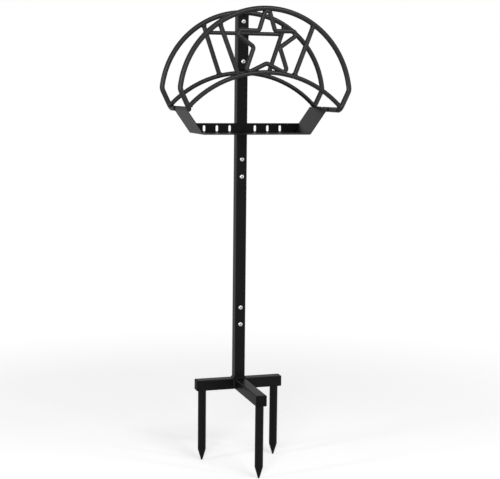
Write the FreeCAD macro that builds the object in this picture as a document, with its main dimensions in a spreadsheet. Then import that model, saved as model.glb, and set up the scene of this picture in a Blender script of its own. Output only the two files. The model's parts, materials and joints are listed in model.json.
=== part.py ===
import FreeCAD, Part
import math
import os
import Sketcher

V = FreeCAD.Vector
Turn = FreeCAD.Rotation
Constraint = Sketcher.Constraint

# Frame: X to the right, Y to the back, Z up. The post axis is X = Y = 0 and
# Z = 0 is the underside of the base bars, where the stand meets the soil.

# Driving dimensions in millimetres and degrees, and shares of another size
DIMENSIONS = {
    "tube_size": 25,
    "tube_wall": 1.5,
    "tube_corner": 2,
    "bar_length": 200,
    "arm_length": 166,
    "stub_height": 150,
    "mid_length": 347,
    "top_length": 347,
    "cap_thickness": 4,
    "top_cap_thickness": 2,
    "cap_insert": 14,
    "top_cap_insert": 8,
    "cap_round": 1.5,
    "fit_gap": 0.3,
    "sleeve_length": 80,
    "spike_diameter": 19,
    "spike_length": 169,
    "spike_point": 26,
    "spike_tip": 3.4,
    "spike_inset": 15.5,
    "weld_leg": 3.5,
    "weld_gap": 0.1,
    "bolt_diameter": 6,
    "bolt_offset": 20,
    "head_diameter": 10.5,
    "head_height": 3.3,
    "head_round": 2.6,
    "socket_width": 4,
    "socket_depth": 2,
    "washer_diameter": 12,
    "washer_thickness": 1.6,
    "nut_width": 10,
    "nut_height": 4,
    "collar_diameter": 9,
    "collar_height": 2,
    "bolt_end": 1.5,
    "hoop_rod": 11.4,
    "hoop_radius": 192,
    "crown_above_post": 5.5,
    "hoop_end_angle": 9,
    "hoop_knee": 10,
    "knee_bend": 20,
    "foot_bend": 10,
    "front_reach": 190,
    "foot_overlap": 45,
    "foot_drop": 4,
    "saddle_rod": 10,
    "saddle_radius": 236.5,
    "saddle_rise": 56.5,
    "strut_rod": 10.4,
    "front_strut_top_share": 0.552,
    "front_strut_foot_share": 0.3255,
    "rear_strut_top_share": 0.504,
    "rear_strut_foot_share": 0.2966,
    "crossbar_rod": 9,
    "crossbar_drop": 46.5,
    "star_rod": 9.8,
    "star_bend": 7,
    "star_sink": 5,
    "star_notch_share": 0.4586,
    "star_base_share": 0.651,
    "plate_thickness": 3,
    "plate_below": 80,
    "top_bolt_drop": 19.5,
    "plate_bolt_spacing": 90,
    "gauge": 1.5,
    "tray_drop": 79.5,
    "tray_depth": 118.5,
    "floor_half": 124,
    "wing_angle": 55,
    "wing_rise": 60,
    "flange_rise": 22,
    "slot_width": 5.8,
    "slot_bottom": 3,
    "slot_top_margin": 5,
    "slot_pitch": 30.3,
    "slot_steps": 3,
    "fold_round": 2.5,
}

# Sizes that follow from the driving ones
FORMULAS = {
    "lower_seam": "=tube_size + stub_height",
    "upper_seam": "=lower_seam + mid_length",
    "post_top": "=upper_seam + top_length",
    "crown_height": "=post_top + crown_above_post",
    "hoop_height": "=crown_height - hoop_radius",
    "saddle_top": "=hoop_height + saddle_rise",
    "crossbar_height": "=crown_height - crossbar_drop",
    "top_bolt_height": "=crown_height - top_bolt_drop",
    "low_bolt_height": "=top_bolt_height - plate_bolt_spacing",
    "tray_height": "=hoop_height - tray_drop",
    "front_strut_top_x": "=hoop_radius * front_strut_top_share",
    "front_strut_foot_x": "=hoop_radius * front_strut_foot_share",
    "rear_strut_top_x": "=hoop_radius * rear_strut_top_share",
    "rear_strut_foot_x": "=hoop_radius * rear_strut_foot_share",
    "bolt_length": "=tube_size + washer_thickness + nut_height + collar_height + bolt_end",
}

doc = FreeCAD.newDocument("hose_stand")
sheet = doc.addObject("Spreadsheet::Sheet", "sizes")
for row, (name, number) in enumerate((DIMENSIONS | FORMULAS).items(), start=1):
    sheet.set("A%d" % row, name)
    sheet.set("B%d" % row, str(number))
    sheet.setAlias("B%d" % row, name)
doc.recompute()

keep = {}


def size(name):
    return float(sheet.get(name))


def value(text):
    return float(sheet.evalExpression(text))


def bind(item, **expressions):
    for prop, text in expressions.items():
        item.setExpression(prop, text)


def place(item, position, rotation=Turn()):
    item.Placement = FreeCAD.Placement(position, rotation)


def keep_as(item, label):
    item.Label = label
    keep[label] = item
    return item


# Sketches and bodies
def new_body(name):
    return doc.addObject("PartDesign::Body", name + "_body")


def new_sketch(body, name, role):
    sketch = body.newObject("Sketcher::SketchObject", name)
    for plane in body.Origin.OriginFeatures:
        if plane.Role == role:
            sketch.AttachmentSupport = [(plane, "")]
    sketch.MapMode = "FlatFace"
    return sketch


def hold_point(sketch, geometry, point, axis, text):
    number = value(text)
    if abs(number) < 1e-9:
        line = -2 if axis == "DistanceX" else -1
        sketch.addConstraint(Constraint("PointOnObject", geometry, point, line))
        return
    index = sketch.addConstraint(Constraint(axis, -1, 1, geometry, point, number))
    sketch.setExpression("Constraints[%d]" % index, text)


def add_polygon(sketch, corners):
    first = sketch.GeometryCount
    points = [V(value(x), value(y), 0) for x, y in corners]
    count = len(points)
    for i in range(count):
        sketch.addGeometry(Part.LineSegment(points[i], points[(i + 1) % count]))
    for i in range(count):
        after = first + (i + 1) % count
        sketch.addConstraint(Constraint("Coincident", first + i, 2, after, 1))
    for i, (x, y) in enumerate(corners):
        hold_point(sketch, first + i, 1, "DistanceX", x)
        hold_point(sketch, first + i, 1, "DistanceY", y)


def add_square(sketch, half):
    minus = "-(" + half + ")"
    add_polygon(sketch, [(minus, minus), (half, minus), (half, half), (minus, half)])


def add_circle(sketch, height, radius):
    index = sketch.addGeometry(Part.Circle(V(0, value(height), 0), V(0, 0, 1), value(radius)))
    hold_point(sketch, index, 3, "DistanceX", "0")
    hold_point(sketch, index, 3, "DistanceY", height)
    last = sketch.addConstraint(Constraint("Radius", index, value(radius)))
    sketch.setExpression("Constraints[%d]" % last, radius)


def add_pad(body, sketch, length, reverse=False):
    pad = body.newObject("PartDesign::Pad", sketch.Name + "_pad")
    pad.Profile = sketch
    pad.Reversed = reverse
    bind(pad, Length=length)
    sketch.Visibility = False
    doc.recompute()
    return pad


def add_through_pocket(body, sketch):
    pocket = body.newObject("PartDesign::Pocket", sketch.Name + "_pocket")
    pocket.Profile = sketch
    pocket.Type = "ThroughAll"
    pocket.SideType = "Symmetric"
    sketch.Visibility = False
    doc.recompute()
    return pocket


def add_fillet(body, radius, wanted):
    base = body.Tip
    names = []
    for number, edge in enumerate(base.Shape.Edges, start=1):
        if wanted(edge):
            names.append("Edge%d" % number)
    fillet = body.newObject("PartDesign::Fillet", body.Name + "_round")
    fillet.Base = (base, names)
    bind(fillet, Radius=radius)
    doc.recompute()
    return fillet


def at_corner(edge, half):
    ends = [vertex.Point for vertex in edge.Vertexes]
    if len(ends) < 2:
        return False
    upright = abs(ends[0].x - ends[1].x) + abs(ends[0].y - ends[1].y) < 1e-6
    return upright and abs(abs(ends[0].x) - half) + abs(abs(ends[0].y) - half) < 1e-6


def square_tube(name, length, half, wall, corner, hole_heights):
    body = new_body(name)
    sketch = new_sketch(body, name + "_section", "XY_Plane")
    add_square(sketch, half)
    add_square(sketch, half + " - " + wall)
    add_pad(body, sketch, length)
    half_size = value(half)
    add_fillet(body, corner, lambda edge: at_corner(edge, half_size))
    if hole_heights:
        holes = new_sketch(body, name + "_holes", "XZ_Plane")
        for height in hole_heights:
            add_circle(holes, height, "sizes.bolt_diameter / 2 + sizes.fit_gap")
        add_through_pocket(body, holes)
    return keep_as(body, name)


def plug(name, thickness, insert):
    body = new_body(name)
    face = new_sketch(body, name + "_face", "XY_Plane")
    add_square(face, "sizes.tube_size / 2")
    add_pad(body, face, thickness)
    half = size("tube_size") / 2
    add_fillet(body, "sizes.tube_corner", lambda edge: at_corner(edge, half))
    top = value(thickness)
    add_fillet(body, "sizes.cap_round * " + thickness + " / sizes.cap_thickness",
               lambda edge: all(abs(vertex.Point.z - top) < 1e-6 for vertex in edge.Vertexes))
    stem = new_sketch(body, name + "_stem", "XY_Plane")
    add_square(stem, "sizes.tube_size / 2 - sizes.tube_wall - sizes.fit_gap")
    add_pad(body, stem, insert, reverse=True)
    return keep_as(body, name)


# Bent rods: a spine of lines and arcs and a round section swept along it
def rounded_path(points, bends, closed=False):
    count = len(points)
    corners = range(count) if closed else range(1, count - 1)
    entry = {}
    leave = {}
    arcs = {}
    for i, radius in zip(corners, bends):
        here = points[i]
        back = (points[i - 1] - here).normalize()
        ahead = (points[(i + 1) % count] - here).normalize()
        half = back.getAngle(ahead) / 2
        reach = radius / math.tan(half)
        middle = (back + ahead).normalize()
        entry[i] = here + back * reach
        leave[i] = here + ahead * reach
        crown = here + middle * (radius / math.sin(half) - radius)
        arcs[i] = Part.Arc(entry[i], crown, leave[i]).toShape()
    edges = []
    steps = range(count) if closed else range(count - 1)
    for i in steps:
        after = (i + 1) % count
        start = leave.get(i, points[i])
        end = entry.get(after, points[after])
        edges.append(Part.LineSegment(start, end).toShape())
        if after in arcs:
            edges.append(arcs[after])
    return edges


def swept_rod(name, edges, radius):
    spine = doc.addObject("Part::Feature", name + "_spine")
    spine.Shape = Part.Wire(edges)
    first = spine.Shape.OrderedEdges[0]
    start = first.valueAt(first.FirstParameter)
    heading = first.tangentAt(first.FirstParameter)
    section = doc.addObject("Part::Circle", name + "_section")
    bind(section, Radius=radius)
    place(section, start, Turn(V(0, 0, 1), heading))
    rod = doc.addObject("Part::Sweep", name + "_rod")
    rod.Sections = [section]
    rod.Spine = (spine, ["Edge%d" % (i + 1) for i in range(len(edges))])
    rod.Solid = True
    rod.Frenet = False
    doc.recompute()
    return rod


def straight_rod(name, start, end, radius):
    rod = doc.addObject("Part::Cylinder", name + "_rod")
    bind(rod, Radius=radius)
    rod.Height = (end - start).Length
    place(rod, start, Turn(V(0, 0, 1), end - start))
    return rod


def cut(name, base, tool):
    item = doc.addObject("Part::Cut", name)
    item.Base = base
    item.Tool = tool
    doc.recompute()
    return item


def cope(name, base, tools):
    for number, tool in enumerate(tools, start=1):
        base = cut("%s_cope%d" % (name, number), base, tool)
    return keep_as(base, name)


# Heights and reaches that follow from the dimensions
HALF = "sizes.tube_size / 2"
half_tube = size("tube_size") / 2
stub_foot = size("tube_size")
lower_seam = size("lower_seam")
upper_seam = size("upper_seam")
bar_end = size("bar_length") / 2
arm_end = -half_tube - size("arm_length")
spike_x = bar_end + size("cap_thickness") - size("spike_inset")
spike_y = arm_end - size("cap_thickness") + size("spike_inset")

# Base
along_x = Turn(V(0, 1, 0), 90)
along_front = Turn(V(1, 0, 0), 90)
bar = square_tube("base_crossbar", "sizes.bar_length", HALF, "sizes.tube_wall", "sizes.tube_corner", [])
place(bar, V(-bar_end, 0, half_tube), along_x)
arm = square_tube("base_front_arm", "sizes.arm_length", HALF, "sizes.tube_wall", "sizes.tube_corner", [])
place(arm, V(0, -half_tube, half_tube), along_front)
stub = square_tube("base_post_stub", "sizes.stub_height", HALF, "sizes.tube_wall", "sizes.tube_corner",
                   ["sizes.stub_height - sizes.bolt_offset"])
place(stub, V(0, 0, stub_foot))

spikes = {"spike_left": (-spike_x, 0), "spike_right": (spike_x, 0), "spike_front": (0, spike_y)}
for name, (x, y) in spikes.items():
    spike = new_body(name)
    outline = new_sketch(spike, name + "_outline", "XZ_Plane")
    add_polygon(outline, [
        ("0", "0"),
        ("sizes.spike_diameter / 2", "0"),
        ("sizes.spike_diameter / 2", "sizes.spike_point - sizes.spike_length"),
        ("sizes.spike_tip / 2", "-sizes.spike_length"),
        ("0", "-sizes.spike_length"),
    ])
    spin = spike.newObject("PartDesign::Revolution", name + "_turned")
    spin.Profile = outline
    spin.ReferenceAxis = (outline, ["V_Axis"])
    spin.Angle = 360
    doc.recompute()
    place(keep_as(spike, name), V(x, y, 0))

caps = {
    "end_cap_left": (V(-bar_end, 0, half_tube), Turn(V(0, 1, 0), -90)),
    "end_cap_right": (V(bar_end, 0, half_tube), along_x),
    "end_cap_front": (V(0, arm_end, half_tube), along_front),
}
for name, (position, rotation) in caps.items():
    place(plug(name, "sizes.cap_thickness", "sizes.cap_insert"), position, rotation)
place(plug("post_top_cap", "sizes.top_cap_thickness", "sizes.top_cap_insert"), V(0, 0, size("post_top")))

# Weld fillets at the foot of the post and beside the front arm
flat = "sizes.tube_size - 2 * sizes.tube_corner"
bead_places = [
    (V(half_tube, value(flat) / 2, stub_foot), Turn(V(1, 0, 0), 90)),
    (V(-half_tube, -value(flat) / 2, stub_foot), Turn(V(0, 0, 1), 180) * Turn(V(1, 0, 0), 90)),
    (V(value(flat) / 2, -half_tube, stub_foot), Turn(V(0, 0, 1), -90) * Turn(V(1, 0, 0), 90)),
    (V(half_tube, -half_tube, half_tube + value(flat) / 2), Turn(V(1, 0, 0), 180)),
    (V(-half_tube, -half_tube, half_tube - value(flat) / 2), Turn(V(0, 0, 1), 180)),
]
beads = []
for number, (position, rotation) in enumerate(bead_places, start=1):
    bead = doc.addObject("Part::Wedge", "weld_bead_%d" % number)
    bead.Xmin = 0
    bead.Ymin = 0
    bead.Zmin = 0
    bead.X2min = 0
    bead.X2max = 0
    bead.Z2min = 0
    bind(bead, Xmax="sizes.weld_leg", Ymax="sizes.weld_leg", Zmax=flat, Z2max=flat)
    place(bead, position, rotation)
    beads.append(bead)
welds = doc.addObject("Part::Compound", "weld_group")
welds.Links = beads
keep_as(welds, "base_weld_beads")

# Post
mid = square_tube("mid_post", "sizes.mid_length", HALF, "sizes.tube_wall", "sizes.tube_corner",
                  ["sizes.bolt_offset", "sizes.mid_length - sizes.bolt_offset"])
place(mid, V(0, 0, lower_seam))
top = square_tube("top_post", "sizes.top_length", HALF, "sizes.tube_wall", "sizes.tube_corner", [
    "sizes.bolt_offset",
    "sizes.low_bolt_height - sizes.upper_seam",
    "sizes.top_bolt_height - sizes.upper_seam",
])
place(top, V(0, 0, upper_seam))
SLEEVE = "sizes.tube_size / 2 - sizes.tube_wall - sizes.fit_gap"
for name, seam in (("lower_sleeve", lower_seam), ("upper_sleeve", upper_seam)):
    sleeve = square_tube(name, "sizes.sleeve_length", SLEEVE, "sizes.tube_wall", "sizes.tube_corner / 2", [
        "sizes.sleeve_length / 2 - sizes.bolt_offset",
        "sizes.sleeve_length / 2 + sizes.bolt_offset",
    ])
    place(sleeve, V(0, 0, seam - size("sleeve_length") / 2))


# Fasteners, drawn once and set out as groups
def bolt(name, length):
    body = new_body(name)
    outline = new_sketch(body, name + "_outline", "XZ_Plane")
    add_polygon(outline, [
        ("0", "-(" + length + ")"),
        ("sizes.bolt_diameter / 2", "-(" + length + ")"),
        ("sizes.bolt_diameter / 2", "0"),
        ("sizes.head_diameter / 2", "0"),
        ("sizes.head_diameter / 2", "sizes.head_height"),
        ("0", "sizes.head_height"),
    ])
    spin = body.newObject("PartDesign::Revolution", name + "_turned")
    spin.Profile = outline
    spin.ReferenceAxis = (outline, ["V_Axis"])
    spin.Angle = 360
    doc.recompute()
    rim = size("head_diameter") / 2
    crown = size("head_height")

    def on_rim(edge):
        if not isinstance(edge.Curve, Part.Circle):
            return False
        return abs(edge.Curve.Radius - rim) < 1e-6 and abs(edge.Curve.Center.z - crown) < 1e-6

    add_fillet(body, "sizes.head_round", on_rim)
    socket = doc.addObject("Part::Prism", name + "_socket")
    socket.Polygon = 6
    bind(socket, Circumradius="sizes.socket_width / sqrt(3)", Height="sizes.socket_depth")
    place(socket, V(0, 0, crown - size("socket_depth")))
    return cut(name, body, socket)


def group(label, master, spots, rotation):
    copies = []
    for spot in spots:
        copy = master.Shape.copy()
        copy.Placement = FreeCAD.Placement(spot, rotation)
        copies.append(copy)
    item = doc.addObject("Part::Feature", label)
    item.Shape = Part.makeCompound(copies)
    return keep_as(item, label)


top_bolt = size("top_bolt_height")
low_bolt = size("low_bolt_height")
joint_heights = []
for seam in (lower_seam, upper_seam):
    joint_heights += [seam - size("bolt_offset"), seam + size("bolt_offset")]
plate_front = -half_tube - size("plate_thickness")
joint_bolt = bolt("joint_bolt", "sizes.bolt_length")
cradle_bolt = bolt("cradle_bolt", "sizes.bolt_length + sizes.plate_thickness")
group("post_bolts", joint_bolt, [V(0, -half_tube, height) for height in joint_heights], along_front)
plate_heights = [low_bolt, top_bolt]
group("cradle_bolts", cradle_bolt, [V(0, plate_front, height) for height in plate_heights], along_front)

washer_disc = doc.addObject("Part::Cylinder", "washer_disc")
bind(washer_disc, Radius="sizes.washer_diameter / 2", Height="sizes.washer_thickness")
washer_hole = doc.addObject("Part::Cylinder", "washer_hole")
bind(washer_hole, Radius="sizes.bolt_diameter / 2 + sizes.fit_gap", Height="sizes.washer_thickness")
washer = cut("washer", washer_disc, washer_hole)
nut_hex = doc.addObject("Part::Prism", "nut_hex")
nut_hex.Polygon = 6
bind(nut_hex, Circumradius="sizes.nut_width / sqrt(3)", Height="sizes.nut_height")
nut_collar = doc.addObject("Part::Cylinder", "nut_collar")
bind(nut_collar, Radius="sizes.collar_diameter / 2", Height="sizes.nut_height + sizes.collar_height")
nut_solid = doc.addObject("Part::Fuse", "nut_solid")
nut_solid.Base = nut_hex
nut_solid.Tool = nut_collar
nut_hole = doc.addObject("Part::Cylinder", "nut_hole")
bind(nut_hole, Radius="sizes.bolt_diameter / 2 + sizes.fit_gap",
     Height="sizes.nut_height + sizes.collar_height")
nut = cut("nut", nut_solid, nut_hole)
all_heights = joint_heights + plate_heights
to_back = Turn(V(1, 0, 0), -90)
group("washers", washer, [V(0, half_tube, height) for height in all_heights], to_back)
nut_face = half_tube + size("washer_thickness")
group("lock_nuts", nut, [V(0, nut_face, height) for height in all_heights], to_back)

# Plate behind the rear arch
plate_foot = size("crossbar_height") - size("plate_below")
plate = doc.addObject("Part::Box", "plate_blank")
bind(plate, Length="sizes.tube_size", Width="sizes.plate_thickness")
bind(plate, Height="sizes.crossbar_drop + sizes.plate_below")
place(plate, V(-half_tube, plate_front, plate_foot))
for name, height in (("low", low_bolt), ("top", top_bolt)):
    drill = doc.addObject("Part::Cylinder", "plate_hole_" + name)
    bind(drill, Radius="sizes.bolt_diameter / 2 + sizes.fit_gap", Height="sizes.plate_thickness")
    place(drill, V(0, plate_front, height), to_back)
    plate = cut("plate_drilled_" + name, plate, drill)
keep_as(plate, "mount_plate")

# Folded tray with a slotted rear flange
tray = new_body("accessory_tray")
SPREAD = "sizes.floor_half + sizes.wing_rise / tan(sizes.wing_angle)"
INNER_SPREAD = SPREAD + " - sizes.gauge / sin(sizes.wing_angle)"
INNER_FLOOR = "sizes.floor_half - sizes.gauge * tan(sizes.wing_angle / 2)"
trough = new_sketch(tray, "tray_trough", "XZ_Plane")
add_polygon(trough, [
    ("-(" + SPREAD + ")", "sizes.wing_rise"),
    ("-sizes.floor_half", "0"),
    ("sizes.floor_half", "0"),
    (SPREAD, "sizes.wing_rise"),
    (INNER_SPREAD, "sizes.wing_rise"),
    (INNER_FLOOR, "sizes.gauge"),
    ("-(" + INNER_FLOOR + ")", "sizes.gauge"),
    ("-(" + INNER_SPREAD + ")", "sizes.wing_rise"),
])
add_pad(tray, trough, "sizes.tray_depth")
FLANGE_SPREAD = "sizes.floor_half + sizes.flange_rise / tan(sizes.wing_angle)"
flange = new_sketch(tray, "tray_flange", "XZ_Plane")
add_polygon(flange, [
    ("-sizes.floor_half", "0"),
    ("sizes.floor_half", "0"),
    (FLANGE_SPREAD, "sizes.flange_rise"),
    ("-(" + FLANGE_SPREAD + ")", "sizes.flange_rise"),
])
add_pad(tray, flange, "sizes.gauge")


def along(axis, x, y, z):
    """Picks the straight edges along one axis through a place, given as text where it is fixed."""
    wanted = {"x": x, "y": y, "z": z}
    fixed = {key: value(text) for key, text in wanted.items() if text is not None}

    def matches(edge):
        ends = [vertex.Point for vertex in edge.Vertexes]
        if len(ends) < 2 or (ends[1] - ends[0]).Length < 1e-6:
            return False
        heading = (ends[1] - ends[0]).normalize()
        if abs(getattr(heading, axis)) < 1 - 1e-6:
            return False
        for key, number in fixed.items():
            place_now = getattr(ends[0], key)
            if abs((abs(place_now) if key == "x" else place_now) - number) > 1e-6:
                return False
        return True

    return matches


add_fillet(tray, "sizes.fold_round", along("y", "sizes.floor_half", None, "0"))
add_fillet(tray, "sizes.fold_round - sizes.gauge", along("y", INNER_FLOOR, None, "sizes.gauge"))
slot = new_sketch(tray, "tray_slot", "XZ_Plane")
SLOT_LEFT = "-sizes.slot_pitch * sizes.slot_steps - sizes.slot_width / 2"
SLOT_RIGHT = "-sizes.slot_pitch * sizes.slot_steps + sizes.slot_width / 2"
SLOT_LOW = "sizes.slot_bottom + sizes.slot_width / 2"
SLOT_HIGH = "sizes.flange_rise - sizes.slot_top_margin - sizes.slot_width / 2"
left = value(SLOT_LEFT)
right = value(SLOT_RIGHT)
low = value(SLOT_LOW)
high = value(SLOT_HIGH)
middle = (left + right) / 2
end_round = (right - left) / 2
slot.addGeometry(Part.LineSegment(V(left, high, 0), V(left, low, 0)))
slot.addGeometry(Part.Arc(V(left, low, 0), V(middle, low - end_round, 0), V(right, low, 0)))
slot.addGeometry(Part.LineSegment(V(right, low, 0), V(right, high, 0)))
slot.addGeometry(Part.Arc(V(right, high, 0), V(middle, high + end_round, 0), V(left, high, 0)))
for line, arc in ((0, 1), (2, 3)):
    slot.addConstraint(Constraint("Tangent", line, 2, arc, 1))
    slot.addConstraint(Constraint("Tangent", arc, 2, (line + 2) % 4, 1))
hold_point(slot, 0, 2, "DistanceX", SLOT_LEFT)
hold_point(slot, 0, 2, "DistanceY", SLOT_LOW)
hold_point(slot, 2, 2, "DistanceX", SLOT_RIGHT)
hold_point(slot, 2, 2, "DistanceY", SLOT_HIGH)
punch = tray.newObject("PartDesign::Pocket", "tray_slot_pocket")
punch.Profile = slot
punch.SideType = "Symmetric"
bind(punch, Length="4 * sizes.gauge")
doc.recompute()
row_of_slots = tray.newObject("PartDesign::LinearPattern", "tray_slots")
row_of_slots.Originals = [punch]
row_of_slots.Direction = (slot, ["H_Axis"])
bind(row_of_slots, Length="2 * sizes.slot_pitch * sizes.slot_steps", Occurrences="2 * sizes.slot_steps + 1")
tray.Tip = row_of_slots
doc.recompute()
place(keep_as(tray, "accessory_tray"), V(0, -half_tube, size("tray_height")))

# Arches of the cradle
hoop_r = size("hoop_rod") / 2
saddle_r = size("saddle_rod") / 2
weld_gap = size("weld_gap")
wing = math.radians(size("wing_angle"))
foot_z = size("tray_height") + size("wing_rise") - size("foot_drop")
wing_height = size("wing_rise") - size("foot_drop")
foot_x = size("floor_half") + (hoop_r + weld_gap + wing_height * math.cos(wing)) / math.sin(wing)
hoop_z = size("hoop_height")
hoop_radius = size("hoop_radius")
end_angle = math.radians(size("hoop_end_angle"))
arc_x = hoop_radius * math.cos(end_angle)
arc_z = hoop_z + hoop_radius * math.sin(end_angle)
knee_x = arc_x + size("hoop_knee") * math.sin(end_angle)
knee_z = arc_z - size("hoop_knee") * math.cos(end_angle)
saddle_z = size("saddle_top") - size("saddle_radius")


def hoop_edges(plane_y, foot_y):
    right_leg = [V(foot_x, foot_y, foot_z), V(foot_x, plane_y, foot_z)]
    right_leg += [V(knee_x, plane_y, knee_z), V(arc_x, plane_y, arc_z)]
    left_leg = [V(-point.x, point.y, point.z) for point in reversed(right_leg)]
    crown = V(0, plane_y, size("crown_height"))
    arch = Part.Arc(right_leg[-1], crown, left_leg[0]).toShape()
    foot_bend = size("foot_bend")
    knee_bend = size("knee_bend")
    return (rounded_path(right_leg, [foot_bend, knee_bend]) + [arch]
            + rounded_path(left_leg, [knee_bend, foot_bend]))


# Where the saddle's circle meets the leg between the foot and the knee
rise = V(knee_x - foot_x, 0, knee_z - foot_z)
offset = V(foot_x, 0, foot_z - saddle_z)
quad = rise.dot(rise)
linear = 2 * rise.dot(offset)
rest = offset.dot(offset) - size("saddle_radius") ** 2
along_leg = (-linear + math.sqrt(linear * linear - 4 * quad * rest)) / (2 * quad)
meeting = offset + rise * along_leg
saddle_half_angle = math.degrees(math.atan2(meeting.x, meeting.z))


def saddle_height(x):
    return saddle_z + math.sqrt(size("saddle_radius") ** 2 - x * x)


def hoop_line(x):
    return hoop_z + math.sqrt(hoop_radius ** 2 - x * x)


def frame(side, plane_y, foot_y):
    keep_as(swept_rod(side + "_hoop", hoop_edges(plane_y, foot_y), "sizes.hoop_rod / 2"), side + "_hoop")
    envelope = swept_rod(side + "_envelope", hoop_edges(plane_y, foot_y),
                         "sizes.hoop_rod / 2 + sizes.weld_gap")
    arc = doc.addObject("Part::Torus", side + "_saddle_arc")
    bind(arc, Radius1="sizes.saddle_radius", Radius2="sizes.saddle_rod / 2")
    arc.Angle3 = 2 * saddle_half_angle
    upright = Turn(V(1, 0, 0), 90)
    place(arc, V(0, plane_y, saddle_z), upright * Turn(V(0, 0, 1), 90 - saddle_half_angle))
    cope(side + "_saddle", arc, [envelope])
    ring = doc.addObject("Part::Torus", side + "_saddle_ring")
    bind(ring, Radius1="sizes.saddle_radius", Radius2="sizes.saddle_rod / 2 + sizes.weld_gap")
    place(ring, V(0, plane_y, saddle_z), upright)
    for hand, sign in (("left", -1), ("right", 1)):
        head = sign * size(side + "_strut_top_x")
        foot = sign * size(side + "_strut_foot_x")
        rod = straight_rod("%s_strut_%s" % (side, hand), V(foot, plane_y, saddle_height(foot)),
                           V(head, plane_y, hoop_line(head)), "sizes.strut_rod / 2")
        cope("%s_strut_%s" % (side, hand), rod, [envelope, ring])
    return envelope, ring


rear_y = plate_front - hoop_r - weld_gap
front_y = -size("front_reach")
tray_front = -half_tube - size("tray_depth")
frame("rear", rear_y, rear_y - size("foot_overlap"))
front_envelope, front_ring = frame("front", front_y, tray_front + size("foot_overlap"))

# Crossbar between the rear struts, against the plate
strut_head = size("rear_strut_top_x")
strut_foot = size("rear_strut_foot_x")
strut_slope = (strut_head - strut_foot) / (hoop_line(strut_head) - saddle_height(strut_foot))
crossbar_x = strut_foot + strut_slope * (size("crossbar_height") - saddle_height(strut_foot))
crossbar_y = plate_front - size("crossbar_rod") / 2 - weld_gap
crossbar = straight_rod("rear_crossbar", V(-crossbar_x, crossbar_y, size("crossbar_height")),
                        V(crossbar_x, crossbar_y, size("crossbar_height")), "sizes.crossbar_rod / 2")
strut_shells = []
for hand, sign in (("left", -1), ("right", 1)):
    foot = sign * strut_foot
    head = sign * strut_head
    strut_shells.append(straight_rod("crossbar_seat_" + hand, V(foot, rear_y, saddle_height(foot)),
                                     V(head, rear_y, hoop_line(head)),
                                     "sizes.strut_rod / 2 + sizes.weld_gap"))
cope("rear_crossbar", crossbar, strut_shells)

# Star: tips rounded, top coped into the arch and feet on the saddle
star_r = size("star_rod") / 2
star_bend = size("star_bend")
star_crown = size("crown_height") - hoop_r - star_r + size("star_sink")
tip_angles = [90, 18, -54, -126, 162]
notch_angles = [54, -18, -90, -162, 126]
foot_cosine = math.cos(math.radians(36))
reach = (star_crown - size("saddle_top")) * 0.5
for step in range(12):
    foot_centre_x = (reach - star_bend) * math.sin(math.radians(36))
    foot_low = saddle_height(foot_centre_x) + saddle_r + star_r
    reach = (star_crown - foot_low - star_bend * (1 - foot_cosine)) / (1 + foot_cosine)
star_z = star_crown - reach
sharp = reach
notch = reach * size("star_notch_share")
for step in range(12):
    half = math.atan2(notch * math.sin(math.radians(36)), sharp - notch * foot_cosine)
    sharp = reach + star_bend * (1 / math.sin(half) - 1)
star_points = []
for tip, dent in zip(tip_angles, notch_angles):
    depth = reach * size("star_base_share") if dent == -90 else notch
    for angle, distance in ((tip, sharp), (dent, depth)):
        radians = math.radians(angle)
        star_points.append(V(distance * math.cos(radians), front_y, star_z + distance * math.sin(radians)))
star_bends = [star_bend] * len(star_points)
star_rod = swept_rod("star", rounded_path(star_points, star_bends, closed=True), "sizes.star_rod / 2")
cope("star", star_rod, [front_envelope, front_ring])

# Checks and export
doc.recompute()
for item in doc.Objects:
    if "Invalid" in item.State or "Error" in item.State:
        raise RuntimeError("failed object: " + item.Label)
os.makedirs("parts", exist_ok=True)
for label, item in keep.items():
    shape = item.Shape
    if shape.isNull() or not shape.isValid():
        raise RuntimeError("bad shape: " + label)
    shape.exportStep("parts/%s.step" % label)
    box = shape.BoundBox
    print("%-18s solids %d volume %10.1f  x %7.1f %7.1f  y %7.1f %7.1f  z %7.1f %7.1f" % (
        label, len(shape.Solids), shape.Volume, box.XMin, box.XMax, box.YMin, box.YMax, box.ZMin, box.ZMax))
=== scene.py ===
import json
import math

import bpy
from mathutils import Matrix, Vector


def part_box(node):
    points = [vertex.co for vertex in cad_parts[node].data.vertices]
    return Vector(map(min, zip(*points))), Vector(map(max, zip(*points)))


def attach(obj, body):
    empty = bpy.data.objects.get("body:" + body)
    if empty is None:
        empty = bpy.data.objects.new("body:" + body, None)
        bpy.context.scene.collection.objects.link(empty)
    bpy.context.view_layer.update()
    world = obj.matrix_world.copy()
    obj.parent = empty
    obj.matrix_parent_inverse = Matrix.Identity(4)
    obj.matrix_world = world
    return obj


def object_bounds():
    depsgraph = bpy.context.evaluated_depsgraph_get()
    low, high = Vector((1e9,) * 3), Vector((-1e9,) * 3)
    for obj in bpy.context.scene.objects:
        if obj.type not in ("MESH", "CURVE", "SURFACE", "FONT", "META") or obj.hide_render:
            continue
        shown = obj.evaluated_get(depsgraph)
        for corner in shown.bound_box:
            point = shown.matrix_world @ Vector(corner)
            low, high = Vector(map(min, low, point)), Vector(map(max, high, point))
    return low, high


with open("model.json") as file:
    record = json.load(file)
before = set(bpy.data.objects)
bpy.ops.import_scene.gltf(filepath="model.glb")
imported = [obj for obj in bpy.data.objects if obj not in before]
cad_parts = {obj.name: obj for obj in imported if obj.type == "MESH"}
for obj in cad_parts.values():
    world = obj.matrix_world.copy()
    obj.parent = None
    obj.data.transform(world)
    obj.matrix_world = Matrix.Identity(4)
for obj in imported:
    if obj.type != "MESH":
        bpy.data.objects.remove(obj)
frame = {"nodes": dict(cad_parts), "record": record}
low_at_load, high_at_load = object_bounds()
nodes = frame["nodes"]
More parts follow.
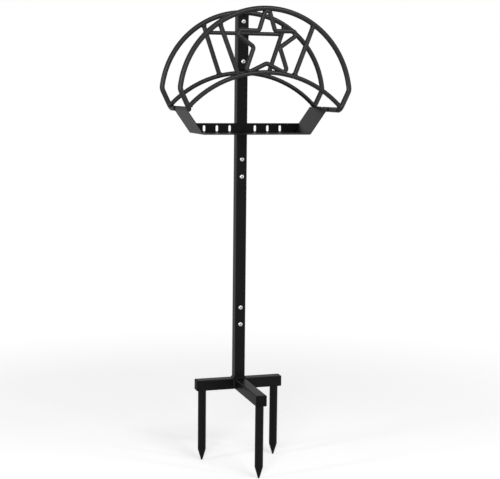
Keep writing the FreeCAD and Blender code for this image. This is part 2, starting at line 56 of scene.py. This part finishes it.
scene = bpy.context.scene

# Sizes of the cradle in metres, in the shared frame: X right, Y back, Z up
CROWN_Z = 0.8745
HOOP_R = 0.192
HOOP_ROD = 0.0114
SADDLE_R = 0.2365
SADDLE_RISE = 0.0565
SADDLE_ROD = 0.010
SADDLE_END_X = 0.1727
STRUT_ROD = 0.0104
STRUTS = {
    "front": {"top_share": 0.552, "foot_share": 0.3255},
    "rear": {"top_share": 0.504, "foot_share": 0.2966},
}
CROSSBAR_DROP = 0.0465
CROSSBAR_ROD = 0.009
STAR_FOOT_X = 0.0330
HOOP_Z = CROWN_Z - HOOP_R
SADDLE_Z = HOOP_Z + SADDLE_RISE - SADDLE_R
CROSSBAR_Z = CROWN_Z - CROSSBAR_DROP
FRONT_Y = (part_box("front_saddle")[0].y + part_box("front_saddle")[1].y) / 2
REAR_Y = (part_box("rear_saddle")[0].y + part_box("rear_saddle")[1].y) / 2
PLATE_FRONT_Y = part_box("mount_plate")[0].y
PLATE_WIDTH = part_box("mount_plate")[1].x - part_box("mount_plate")[0].x


# Shader nodes
NOISE_LOW = 0.35
NOISE_HIGH = 0.65


def new_material(name):
    material = bpy.data.materials.new(name)
    material.use_nodes = True
    tree = material.node_tree
    tree.nodes.clear()
    output = tree.nodes.new("ShaderNodeOutputMaterial")
    shader = tree.nodes.new("ShaderNodeBsdfPrincipled")
    tree.links.new(shader.outputs["BSDF"], output.inputs["Surface"])
    return material, tree, shader


def feed(tree, socket, source):
    """Links a socket to another node's output, or sets it to a plain value."""
    if isinstance(source, bpy.types.NodeSocket):
        tree.links.new(source, socket)
    else:
        socket.default_value = source


def math_node(tree, operation, first, second):
    node = tree.nodes.new("ShaderNodeMath")
    node.operation = operation
    feed(tree, node.inputs[0], first)
    feed(tree, node.inputs[1], second)
    return node.outputs["Value"]


def noise(tree, scale, detail):
    place = tree.nodes.new("ShaderNodeTexCoord")
    texture = tree.nodes.new("ShaderNodeTexNoise")
    texture.inputs["Scale"].default_value = scale
    texture.inputs["Detail"].default_value = detail
    tree.links.new(place.outputs["Object"], texture.inputs["Vector"])
    return texture.outputs["Fac"]


def spread(tree, source, low, high):
    """Stretches the middle of a noise over the range from low to high."""
    node = tree.nodes.new("ShaderNodeMapRange")
    node.inputs["From Min"].default_value = NOISE_LOW
    node.inputs["From Max"].default_value = NOISE_HIGH
    node.inputs["To Min"].default_value = low
    node.inputs["To Max"].default_value = high
    tree.links.new(source, node.inputs["Value"])
    return node.outputs["Result"]


def blend_colour(tree, factor, first, second):
    node = tree.nodes.new("ShaderNodeMix")
    node.data_type = "RGBA"
    colours = [socket for socket in node.inputs if socket.type == "RGBA"]
    feed(tree, colours[0], first)
    feed(tree, colours[1], second)
    tree.links.new(factor, node.inputs["Factor"])
    return [socket for socket in node.outputs if socket.type == "RGBA"][0]


def bump(tree, shader, source, strength, distance):
    node = tree.nodes.new("ShaderNodeBump")
    node.inputs["Strength"].default_value = strength
    node.inputs["Distance"].default_value = distance
    tree.links.new(source, node.inputs["Height"])
    tree.links.new(node.outputs["Normal"], shader.inputs["Normal"])
    tree.links.new(node.outputs["Normal"], shader.inputs["Coat Normal"])


# Materials, with their colours as red, green, blue and alpha
COAT_IOR = 1.3
ROD_COAT_IOR = 1.8
COAT_DARK = (0.0026, 0.0026, 0.0031, 1)
COAT_LIGHT = (0.0042, 0.0041, 0.0047, 1)
CAP_DARK = (0.003, 0.003, 0.0034, 1)
CAP_LIGHT = (0.005, 0.005, 0.0055, 1)
ZINC_DARK = (0.46, 0.46, 0.48, 1)
ZINC_LIGHT = (0.60, 0.60, 0.61, 1)
# Colour of the painted shade in recesses and contacts of the zinc plate
PAINTED_RECESS_SHADE = (0.03, 0.03, 0.032, 1)
RECESS_DEPTH = 0.003
STEEL_DARK = (0.30, 0.30, 0.31, 1)
STEEL_LIGHT = (0.40, 0.40, 0.41, 1)
GRAIN_DEPTH = 0.0002


def satin(shader, ior, weight, roughness):
    """A matte ground under a thin clear coat that takes the highlights."""
    shader.inputs["Specular IOR Level"].default_value = 0
    shader.inputs["Coat IOR"].default_value = ior
    shader.inputs["Coat Weight"].default_value = weight
    shader.inputs["Coat Roughness"].default_value = roughness


def powder_coat(name, ior, gloss):
    material, tree, shader = new_material(name)
    satin(shader, ior, gloss, roughness=0.34)
    cloud = noise(tree, scale=14, detail=3)
    tint = spread(tree, cloud, 0, 1)
    tree.links.new(blend_colour(tree, tint, COAT_DARK, COAT_LIGHT), shader.inputs["Base Color"])
    tree.links.new(spread(tree, cloud, 0.6, 0.7), shader.inputs["Roughness"])
    bump(tree, shader, noise(tree, scale=600, detail=2), strength=0.04, distance=GRAIN_DEPTH)
    return material


def cap_plastic():
    material, tree, shader = new_material("grained_cap_plastic")
    satin(shader, COAT_IOR, weight=0.3, roughness=0.42)
    grain = noise(tree, scale=1500, detail=3)
    tint = spread(tree, noise(tree, scale=40, detail=2), 0, 1)
    tree.links.new(blend_colour(tree, tint, CAP_DARK, CAP_LIGHT), shader.inputs["Base Color"])
    tree.links.new(spread(tree, grain, 0.6, 0.7), shader.inputs["Roughness"])
    bump(tree, shader, grain, strength=0.2, distance=GRAIN_DEPTH)
    return material


def zinc_plate():
    """Bright plate with painted shade, from ambient occlusion, in the recess of a bolt's head and where
    it meets other parts.
    """
    material, tree, shader = new_material("bright_zinc_plate")
    shader.inputs["Metallic"].default_value = 1
    cloud = noise(tree, scale=260, detail=3)
    bright = blend_colour(tree, spread(tree, cloud, 0, 1), ZINC_DARK, ZINC_LIGHT)
    # Painted shade: ambient occlusion darkens the plate colour in the recess and at contacts
    recess = tree.nodes.new("ShaderNodeAmbientOcclusion")
    recess.inputs["Distance"].default_value = RECESS_DEPTH
    open_share = spread(tree, recess.outputs["AO"], 0, 1)
    tree.links.new(blend_colour(tree, open_share, PAINTED_RECESS_SHADE, bright), shader.inputs["Base Color"])
    tree.links.new(spread(tree, cloud, 0.22, 0.34), shader.inputs["Roughness"])
    bump(tree, shader, cloud, strength=0.05, distance=GRAIN_DEPTH)
    return material


def bare_steel():
    material, tree, shader = new_material("drawn_steel")
    shader.inputs["Metallic"].default_value = 1
    cloud = noise(tree, scale=120, detail=4)
    tint = spread(tree, cloud, 0, 1)
    tree.links.new(blend_colour(tree, tint, STEEL_DARK, STEEL_LIGHT), shader.inputs["Base Color"])
    tree.links.new(spread(tree, cloud, 0.35, 0.5), shader.inputs["Roughness"])
    return material


LOOKS = {
    "powder_coat": powder_coat("satin_powder_coat", COAT_IOR, gloss=0.46),
    "rod_coat": powder_coat("satin_powder_coat_on_rod", ROD_COAT_IOR, gloss=0.3),
    "cap_plastic": cap_plastic(),
    "zinc_plate": zinc_plate(),
    "bare_steel": bare_steel(),
}
RODS = ("hoop", "saddle", "strut", "rear_crossbar", "star")
for entry in frame["record"]["subparts"]:
    is_rod = any(word in entry["node"] for word in RODS)
    mesh = nodes[entry["node"]].data
    mesh.materials.clear()
    mesh.materials.append(LOOKS["rod_coat" if is_rod else entry["material_slot"]])


# Weld beads at the joints of the cradle
BEAD = 0.0014
SEAT = 0.0006
STEPS_AROUND = 48
STEPS_ALONG = 33
STEPS_ACROSS = 10
RING_RIPPLES = 11
RING_RIPPLE_SHARE = 0.12
LINE_RIPPLE_RATE = 2200
LINE_RIPPLE_SHARE = 0.1
TAPER_POWER = 6
LEAST_TAPER = 0.02
SIDEWAYS = (1, 0, 0)
HANDS = (("left", -1), ("right", 1))
FACES = (("front", -1), ("back", 1))


def add_bead(name, vertices, faces):
    mesh = bpy.data.meshes.new(name)
    mesh.from_pydata(vertices, [], faces)
    mesh.update()
    for polygon in mesh.polygons:
        polygon.use_smooth = True
    mesh.materials.append(LOOKS["rod_coat"])
    bead = bpy.data.objects.new(name, mesh)
    scene.collection.objects.link(bead)
    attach(bead, "root")


def grid_faces(rows, columns, closed):
    faces = []
    for i in range(rows if closed else rows - 1):
        for j in range(columns):
            here = i * columns
            after = (i + 1) % rows * columns
            beside = (j + 1) % columns
            faces.append((here + j, here + beside, after + beside, after + j))
    return faces


def weld_ring(name, centre, axis, radius, thickness):
    """A bead that runs round the end of a rod, with the ripple of its passes."""
    facing = Vector(axis).to_track_quat("Z", "Y").to_matrix()
    vertices = []
    for i in range(STEPS_AROUND):
        a = 2 * math.pi * i / STEPS_AROUND
        swell = thickness * (1 + RING_RIPPLE_SHARE * math.sin(RING_RIPPLES * a))
        for j in range(STEPS_ACROSS):
            b = 2 * math.pi * j / STEPS_ACROSS
            reach = radius + swell * math.cos(b)
            point = Vector((reach * math.cos(a), reach * math.sin(a), -swell * math.sin(b)))
            vertices.append(Vector(centre) + facing @ point)
    add_bead(name, vertices, grid_faces(STEPS_AROUND, STEPS_ACROSS, True))


def weld_line(name, centre, axis, length, thickness):
    """A straight bead with rounded ends and the ripple of its pass."""
    facing = Vector(axis).to_track_quat("Z", "Y").to_matrix()
    vertices = []
    for i in range(STEPS_ALONG):
        t = -1 + 2 * i / (STEPS_ALONG - 1)
        taper = math.sqrt(max(LEAST_TAPER, 1 - t ** TAPER_POWER))
        ripple = LINE_RIPPLE_SHARE * math.sin(LINE_RIPPLE_RATE * length * t)
        swell = thickness * taper * (1 + ripple)
        for j in range(STEPS_ACROSS):
            b = 2 * math.pi * j / STEPS_ACROSS
            point = Vector((swell * math.cos(b), swell * math.sin(b), t * length / 2))
            vertices.append(Vector(centre) + facing @ point)
    faces = grid_faces(STEPS_ALONG, STEPS_ACROSS, False)
    faces.append(tuple(reversed(range(STEPS_ACROSS))))
    faces.append(tuple(range((STEPS_ALONG - 1) * STEPS_ACROSS, STEPS_ALONG * STEPS_ACROSS)))
    add_bead(name, vertices, faces)


def hoop_height(x):
    return HOOP_Z + math.sqrt(HOOP_R ** 2 - x * x)


def saddle_height(x):
    return SADDLE_Z + math.sqrt(SADDLE_R ** 2 - x * x)


# Struts to the hoops and saddles, and the saddles to the hoops
for side, plane in (("front", FRONT_Y), ("rear", REAR_Y)):
    top_x = HOOP_R * STRUTS[side]["top_share"]
    foot_x = HOOP_R * STRUTS[side]["foot_share"]
    for hand, sign in HANDS:
        head = Vector((sign * top_x, plane, hoop_height(top_x)))
        foot = Vector((sign * foot_x, plane, saddle_height(foot_x)))
        run = (head - foot).normalized()
        label = "weld_%s_%s_" % (side, hand)
        weld_ring(label + "strut_top", head - run * (HOOP_ROD / 2 + SEAT), run, STRUT_ROD / 2, BEAD)
        weld_ring(label + "strut_foot", foot + run * (SADDLE_ROD / 2 + SEAT), run, STRUT_ROD / 2, BEAD)
        end = Vector((sign * SADDLE_END_X, plane, saddle_height(SADDLE_END_X)))
        radial = Vector((end.x, 0, end.z - SADDLE_Z)).normalized()
        heading = Vector((radial.z * sign, 0, -radial.x * sign))
        near_end = end - heading * (HOOP_ROD / 2 + SEAT)
        weld_ring(label + "saddle_end", near_end, heading, SADDLE_ROD / 2, BEAD)

# Crossbar to the rear struts
rear_top_x = HOOP_R * STRUTS["rear"]["top_share"]
rear_foot_x = HOOP_R * STRUTS["rear"]["foot_share"]
rear_foot_z = saddle_height(rear_foot_x)
share = (CROSSBAR_Z - rear_foot_z) / (hoop_height(rear_top_x) - rear_foot_z)
crossbar_x = rear_foot_x + share * (rear_top_x - rear_foot_x)
crossbar_y = PLATE_FRONT_Y - CROSSBAR_ROD / 2
for hand, sign in HANDS:
    place = (sign * (crossbar_x - STRUT_ROD / 2 - SEAT), crossbar_y, CROSSBAR_Z)
    weld_ring("weld_crossbar_" + hand, place, SIDEWAYS, CROSSBAR_ROD / 2, BEAD)

# Rear hoop and crossbar to the plate
PLATE_BEAD_SHARE = 0.85
PLATE_BEAD = PLATE_BEAD_SHARE * PLATE_WIDTH
plate_welds = {
    "hoop": CROWN_Z - HOOP_ROD / 2,
    "bar_top": CROSSBAR_Z + CROSSBAR_ROD / 2,
    "bar_foot": CROSSBAR_Z - CROSSBAR_ROD / 2,
}
for name, height in plate_welds.items():
    weld_line("weld_plate_" + name, (0, PLATE_FRONT_Y - BEAD / 2, height), SIDEWAYS, PLATE_BEAD, BEAD)

# Star to the front hoop and saddle
STAR_BEAD = 0.010
STAR_SEAT = 0.0026
for face, face_sign in FACES:
    weld_y = FRONT_Y + face_sign * STAR_SEAT
    weld_line("weld_star_top_" + face, (0, weld_y, CROWN_Z - HOOP_ROD / 2), SIDEWAYS, STAR_BEAD, BEAD)
    for hand, sign in HANDS:
        radial = Vector((sign * STAR_FOOT_X, 0, saddle_height(STAR_FOOT_X) - SADDLE_Z)).normalized()
        touch = Vector((0, weld_y, SADDLE_Z)) + radial * (SADDLE_R + SADDLE_ROD / 2)
        weld_line("weld_star_%s_%s" % (hand, face), touch, (radial.z, 0, -radial.x), STAR_BEAD, BEAD)

# Camera at the photo's angle
CAMERA_AZIMUTH = math.radians(16.774)
CAMERA_PAN = math.radians(0.499)
CAMERA_PITCH = math.radians(7.172)
CAMERA_ROLL = math.radians(0.600)
CAMERA_DISTANCE = 2.80657
CAMERA_HEIGHT = 0.70719
FOCAL_PIXELS = 1210.87
IMAGE_WIDTH = 500
SENSOR_WIDTH = 36
camera_data = bpy.data.cameras.new("camera")
camera = bpy.data.objects.new("camera", camera_data)
scene.collection.objects.link(camera)
scene.camera = camera
yaw = CAMERA_AZIMUTH + CAMERA_PAN
right = Vector((math.cos(yaw), -math.sin(yaw), 0))
level = Vector((math.sin(yaw), math.cos(yaw), 0))
forward = level * math.cos(CAMERA_PITCH) - Vector((0, 0, math.sin(CAMERA_PITCH)))
up = right.cross(forward)
rolled_right = right * math.cos(CAMERA_ROLL) + up * math.sin(CAMERA_ROLL)
rolled_up = up * math.cos(CAMERA_ROLL) - right * math.sin(CAMERA_ROLL)
axes = Matrix((rolled_right, rolled_up, -forward)).transposed()
position = Vector((-math.sin(CAMERA_AZIMUTH), -math.cos(CAMERA_AZIMUTH), 0)) * CAMERA_DISTANCE
position.z = CAMERA_HEIGHT
camera.matrix_world = Matrix.Translation(position) @ axes.to_4x4()
camera_data.sensor_width = SENSOR_WIDTH
camera_data.lens = FOCAL_PIXELS / IMAGE_WIDTH * SENSOR_WIDTH


# Floor, lit and shaded near the stand and plain white further off
FLOOR_SIZE = 60
FLOOR_COLOUR = (0.93, 0.93, 0.93, 1)
FLOOR_ROUGHNESS = 0.9
FLOOR_SPECULAR = 0.1
FADE_START = 0.5
FADE_END = 1.6
NEAR_FILL = 0.44


def background_rays(tree):
    """1 on the rays that show the background, straight or in gloss or glass, and 0 on the rest."""
    path = tree.nodes.new("ShaderNodeLightPath").outputs
    seen = math_node(tree, "MAXIMUM", path["Is Camera Ray"], path["Is Glossy Ray"])
    return math_node(tree, "MAXIMUM", seen, path["Is Transmission Ray"])


def far_share(tree):
    """0 on the floor near the stand, rising smoothly to 1 further off."""
    place = tree.nodes.new("ShaderNodeTexCoord")
    reach = tree.nodes.new("ShaderNodeVectorMath")
    reach.operation = "LENGTH"
    tree.links.new(place.outputs["Object"], reach.inputs[0])
    node = tree.nodes.new("ShaderNodeMapRange")
    node.interpolation_type = "SMOOTHSTEP"
    node.inputs["From Min"].default_value = FADE_START
    node.inputs["From Max"].default_value = FADE_END
    tree.links.new(reach.outputs["Value"], node.inputs["Value"])
    return node.outputs["Result"]


def pale_floor():
    material, tree, shader = new_material("pale_floor")
    shader.inputs["Base Color"].default_value = FLOOR_COLOUR
    shader.inputs["Roughness"].default_value = FLOOR_ROUGHNESS
    shader.inputs["Specular IOR Level"].default_value = FLOOR_SPECULAR
    seen = background_rays(tree)
    fill = tree.nodes.new("ShaderNodeEmission")
    tree.links.new(math_node(tree, "MULTIPLY", seen, NEAR_FILL), fill.inputs["Strength"])
    near = tree.nodes.new("ShaderNodeAddShader")
    tree.links.new(shader.outputs["BSDF"], near.inputs[0])
    tree.links.new(fill.outputs["Emission"], near.inputs[1])
    white = tree.nodes.new("ShaderNodeEmission")
    mix = tree.nodes.new("ShaderNodeMixShader")
    tree.links.new(math_node(tree, "MULTIPLY", far_share(tree), seen), mix.inputs[0])
    tree.links.new(near.outputs["Shader"], mix.inputs[1])
    tree.links.new(white.outputs["Emission"], mix.inputs[2])
    tree.links.new(mix.outputs["Shader"], tree.nodes["Material Output"].inputs["Surface"])
    return material


bpy.ops.mesh.primitive_plane_add(size=FLOOR_SIZE, location=(0, 0, low_at_load.z))
floor = bpy.context.object
floor.name = "floor"
floor.data.materials.append(pale_floor())


# Light: a soft white room with a softbox at each side and two at the front
AIM = Vector((0, 0, 0.5))
AMBIENT = 0.22


def softbox(name, bearing, distance, height, width, tall, power):
    """A rectangular lamp at a bearing from the front, in degrees to the right, that faces the stand."""
    angle = math.radians(bearing)
    location = Vector((math.sin(angle) * distance, -math.cos(angle) * distance, height))
    data = bpy.data.lights.new(name, "AREA")
    data.shape = "RECTANGLE"
    data.size = width
    data.size_y = tall
    data.energy = power
    lamp = bpy.data.objects.new(name, data)
    lamp.location = location
    lamp.rotation_mode = "QUATERNION"
    lamp.rotation_quaternion = (AIM - location).to_track_quat("-Z", "Y")
    scene.collection.objects.link(lamp)


softbox("left_box", bearing=-75, distance=2.2, height=0.62, width=0.28, tall=1.55, power=12)
softbox("right_box", bearing=45, distance=2.3, height=0.62, width=0.22, tall=1.55, power=8)
softbox("front_box", bearing=-24, distance=3.4, height=1.1, width=1.2, tall=1.3, power=46)
softbox("high_box", bearing=17, distance=2.8, height=2.2, width=1.6, tall=1.1, power=36)

world = bpy.data.worlds.new("studio")
scene.world = world
world.use_nodes = True
world_tree = world.node_tree
background = world_tree.nodes["Background"]
background.inputs["Color"].default_value = (1, 1, 1, 1)
room = math_node(world_tree, "MAXIMUM", background_rays(world_tree), AMBIENT)
world_tree.links.new(room, background.inputs["Strength"])
scene.view_settings.view_transform = "Standard"
